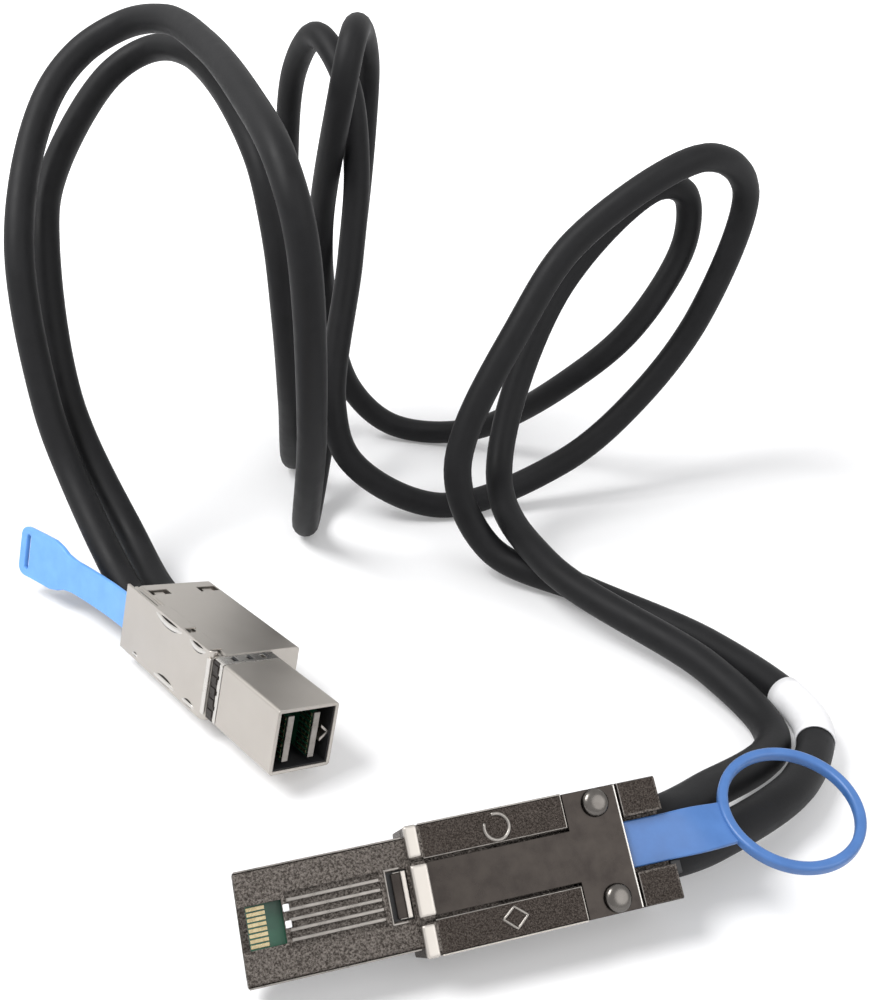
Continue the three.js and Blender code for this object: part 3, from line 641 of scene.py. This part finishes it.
# Domed rivets, as pairs of radius and height
RIVET_AT = 32.4
RIVET_SIDE = 7.7
RIVET_PROFILE = [(2.3, -0.1), (2.3, 0.12), (2.18, 0.42), (1.9, 0.68), (1.5, 0.86), (1.0, 0.97), (0.5, 1.0),
                 (0.05, 1.01)]
for node_name, side, word in (("plug_b_rivet_1", -1, "lower"), ("plug_b_rivet_2", 1, "upper")):
    rings = [[Vector((RIVET_AT + r * math.cos(a), side * RIVET_SIDE + r * math.sin(a), z))
              for a in (2 * math.pi * k / 40 for k in range(40))] for r, z in RIVET_PROFILE]
    dome = skin(f"rivet_dome_{word}", rings, PLUG_B, RIVET, "cable")
    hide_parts(node_name)

# Small black bit under the strap
block("strap_stop", (43.4, 45.2), (-6.2, -3.9), (-3.6, -2.2), PLUG_B, 0.2, MOULD)


# Details of the square plug

# Dark moulding that lines the nose
NOSE_IN_Y = 6.3
NOSE_IN_Z = 6.2
LINER = 0.25
for word, y_range, z_range in (("near", (-NOSE_IN_Y, -NOSE_IN_Y + LINER), (-NOSE_IN_Z, NOSE_IN_Z)),
                               ("far", (NOSE_IN_Y - LINER, NOSE_IN_Y), (-NOSE_IN_Z, NOSE_IN_Z)),
                               ("top", (-NOSE_IN_Y, NOSE_IN_Y), (NOSE_IN_Z - LINER, NOSE_IN_Z)),
                               ("under", (-NOSE_IN_Y, NOSE_IN_Y), (-NOSE_IN_Z, -NOSE_IN_Z + LINER))):
    block(f"nose_liner_{word}", (8.2, 25.7), y_range, z_range, PLUG_A, 0.05, MOULD)
block("nose_liner_back", (8.1, 8.4), (-NOSE_IN_Y + 0.1, NOSE_IN_Y - 0.1),
      (-NOSE_IN_Z + 0.1, NOSE_IN_Z - 0.1), PLUG_A, 0.05, MOULD)

# Grey front edges and contacts of the two cards
A_CARDS_Y = (-3.3, 2.7)
A_CONTACT_PITCH = 1.15
for i, y in enumerate(A_CARDS_Y):
    block(f"a_card_edge_{i + 1}", (24.6, 25.25), (y - 0.72, y + 0.72), (-4.9, 4.9), PLUG_A,
          0.15, PALE_HIGHLIGHT_NICKEL)
    for side in (-1, 1):
        for k in range(8):
            z = (k - 3.5) * A_CONTACT_PITCH
            face = y + side * 0.66
            block(f"a_contact_{i + 1}_{'near' if side < 0 else 'far'}_{k + 1}", (20.5, 24.4),
                  tuple(sorted((face, face + side * 0.06))), (z - 0.38, z + 0.38), PLUG_A,
                  0.02, GOLD)

# Rolled lips of the latch cover: beads in crescents along both long edges, in brighter nickel than the
# cover as a painted highlight
LIP_Y = -7.35


def lip(name, x0, x1, z, bulge, thick, sunk=0.0, material=BRIGHT):
    """A crescent-shaped bead from x0 to x1, thickest at its middle."""
    rings = []
    for i in range(13):
        share = i / 12
        swell = math.sin(math.pi * share)
        radius = 0.12 + thick * swell
        centre = Vector((x0 + (x1 - x0) * share, LIP_Y + sunk + 0.1 - 0.25 * swell,
                         z - math.copysign(bulge * swell, z)))
        rings.append([centre + Vector((0.0, radius * 0.55 * math.cos(a), radius * math.sin(a)))
                      for a in (2 * math.pi * k / 14 for k in range(14))])
    return skin(name, rings, PLUG_A, material, "cable")


# Each bead has painted shade round it: a slightly wider dark bead, set further in, for the shadow under the
# lip
for lip_name, x0, x1, z, bulge, thick in (("lip_top_rear", -27.0, -11.5, 7.0, 0.8, 0.65),
                                          ("lip_top_front", -10.5, -1.6, 7.0, 0.6, 0.6),
                                          ("lip_bottom_rear", -24.5, -11.5, -7.0, 0.5, 0.55),
                                          ("lip_bottom_front", -10.5, -3.0, -7.0, 0.4, 0.4),
                                          ("lip_hook", -35.0, -30.5, -6.9, 0.4, 0.2)):
    lip(lip_name, x0, x1, z, bulge, thick)
    lip(f"{lip_name}_lip_shade", x0 - 0.4, x1 + 0.4, z, bulge, thick + 0.4, sunk=0.28, material=PLATE)

# Rounded front of the cover in brighter nickel as a painted highlight, and painted shade: dark plate and
# dark fingers in the recess between body and nose
block("cover_front_glint", (-1.5, -0.1), (-7.65, -7.1), (-6.3, 6.3), PLUG_A, 0.25, BRIGHT)
block("neck_recess_shade", (0.15, 2.9), (-7.06, -6.6), (-6.6, 6.6), PLUG_A, 0.12, PLATE)
for k in range(5):
    z = (k - 2) * 2.5
    block(f"neck_finger_{k + 1}", (0.5, 2.7), (-7.22, -7.0), (z - 0.75, z + 0.75), PLUG_A,
          0.08, PLATE)
for k, y in enumerate((-3.1, 0.5, 4.3)):
    block(f"nose_slit_{k + 1}", (0.9, 3.2), (y - 0.3, y + 0.3), (6.5, 6.93), PLUG_A, 0.05, MOULD)


# Floor, light and background

WORLD_STRENGTH = 0.75
FLOOR_GLOW = 0.2
FLOOR_NEAR = 0.2
FLOOR_FAR = 0.9
WHITE_FOR = ("Is Camera Ray", "Is Transmission Ray", "Is Glossy Ray")
KEY_WATTS = 11.0
FILL_WATTS = 4.0


def any_ray(tree, kinds):
    """1 for a ray of any of these kinds and 0 for every other."""
    rays = tree.nodes.new("ShaderNodeLightPath")
    seen = rays.outputs[kinds[0]]
    for kind in kinds[1:]:
        either = tree.nodes.new("ShaderNodeMath")
        either.operation = "MAXIMUM"
        tree.links.new(seen, either.inputs[0])
        tree.links.new(rays.outputs[kind], either.inputs[1])
        seen = either.outputs["Value"]
    return seen


def world_light():
    """A soft grey sky as light, which the eye, mirrors and glass see as plain white."""
    world = bpy.data.worlds.new("studio")
    world.use_nodes = True
    tree = world.node_tree
    shaded = tree.nodes["Background"]
    coords = tree.nodes.new("ShaderNodeTexCoord")
    split = tree.nodes.new("ShaderNodeSeparateXYZ")
    tree.links.new(coords.outputs["Generated"], split.inputs["Vector"])
    tones = ramp(tree, split.outputs["Z"], (0.42, 0.42, 0.43), (0.80, 0.80, 0.81), 0.0, 0.8)
    tree.links.new(tones.outputs["Color"], shaded.inputs["Color"])
    shaded.inputs["Strength"].default_value = WORLD_STRENGTH
    white = tree.nodes.new("ShaderNodeBackground")
    white.inputs["Color"].default_value = (1.0, 1.0, 1.0, 1.0)
    mix = tree.nodes.new("ShaderNodeMixShader")
    tree.links.new(any_ray(tree, WHITE_FOR), mix.inputs["Fac"])
    tree.links.new(shaded.outputs["Background"], mix.inputs[1])
    tree.links.new(white.outputs["Background"], mix.inputs[2])
    tree.links.new(mix.outputs["Shader"], tree.nodes["World Output"].inputs["Surface"])
    scene.world = world


def area_lamp(name, place, target, size, watts):
    data = bpy.data.lights.new(name, "AREA")
    data.shape = "DISK"
    data.size = size
    data.energy = watts
    lamp = bpy.data.objects.new(name, data)
    lamp.location = place
    lamp.rotation_euler = (Vector(target) - Vector(place)).to_track_quat("-Z", "Y").to_euler()
    scene.collection.objects.link(lamp)


def floor():
    build = bmesh.new()
    bmesh.ops.create_grid(build, x_segments=1, y_segments=1, size=6.0)
    mesh = bpy.data.meshes.new("floor")
    build.to_mesh(mesh)
    build.free()
    made = bpy.data.objects.new("floor", mesh)
    scene.collection.objects.link(made)
    material, tree, shader = new_material("floor")
    shader.inputs["Base Color"].default_value = (0.80, 0.80, 0.805, 1.0)
    shader.inputs["Roughness"].default_value = 0.9
    shader.inputs["Specular IOR Level"].default_value = 0.1
    # For the eye and in mirrors the floor is lifted to white, darkened only where the object shades it
    glow = tree.nodes.new("ShaderNodeMath")
    glow.operation = "MULTIPLY"
    tree.links.new(any_ray(tree, WHITE_FOR), glow.inputs[0])
    # Past the object the glow rises, so that the floor runs into the white behind it
    coords = tree.nodes.new("ShaderNodeTexCoord")
    reach = tree.nodes.new("ShaderNodeVectorMath")
    reach.operation = "LENGTH"
    tree.links.new(coords.outputs["Object"], reach.inputs[0])
    rise = tree.nodes.new("ShaderNodeMapRange")
    rise.inputs["From Min"].default_value = FLOOR_NEAR
    rise.inputs["From Max"].default_value = FLOOR_FAR
    rise.inputs["To Min"].default_value = FLOOR_GLOW
    rise.inputs["To Max"].default_value = 1.0
    tree.links.new(reach.outputs["Value"], rise.inputs["Value"])
    tree.links.new(rise.outputs["Result"], glow.inputs[1])
    shader.inputs["Emission Color"].default_value = (1.0, 1.0, 1.0, 1.0)
    tree.links.new(glow.outputs["Value"], shader.inputs["Emission Strength"])
    mesh.materials.append(material)


world_light()
floor()
area_lamp("key", (-0.55, -0.15, 0.95), (0.0, 0.06, 0.03), 0.55, KEY_WATTS)
area_lamp("fill", (0.7, -0.6, 0.7), (0.0, 0.05, 0.03), 0.9, FILL_WATTS)

scene.view_settings.view_transform = "Standard"
